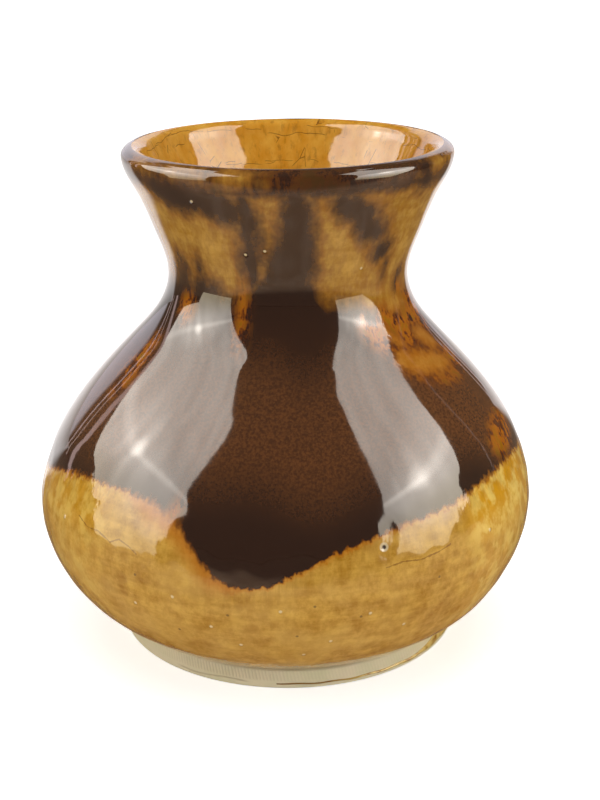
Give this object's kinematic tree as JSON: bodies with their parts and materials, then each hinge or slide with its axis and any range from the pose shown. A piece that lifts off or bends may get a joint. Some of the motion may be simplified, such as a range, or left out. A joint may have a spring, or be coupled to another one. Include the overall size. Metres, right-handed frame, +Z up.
{
  "type": "bud vase",
  "caption": "Squat pottery bud vase with a wide low belly, narrow waist and flared round-lipped mouth, in honey glaze with brown glaze flowing over the shoulder.",
  "frame": {"origin": "centre of the face that the foot ring stands on", "axes": "+Z up along the turning axis, -Y towards the front, where the brown glaze runs lowest"},
  "size_m": [0.1108, 0.111, 0.11],
  "materials": {
    "clay": "matte",
    "foot_clay": "matte",
    "honey_glaze": "polished",
    "lining_glaze": "polished",
    "brown_glaze": "polished",
    "lip_glaze": "polished",
    "olive_glaze": "polished"
  },
  "bodies": {
    "root": {"clay_pot": "clay", "foot_ring": "foot_clay", "base_glaze": "honey_glaze", "lining_glaze": "lining_glaze", "shoulder_flow_glaze": "brown_glaze", "neck_run_glaze": "brown_glaze", "lip_band_glaze": "lip_glaze", "foot_run_glaze": "olive_glaze"}
  },
  "joints": []
}
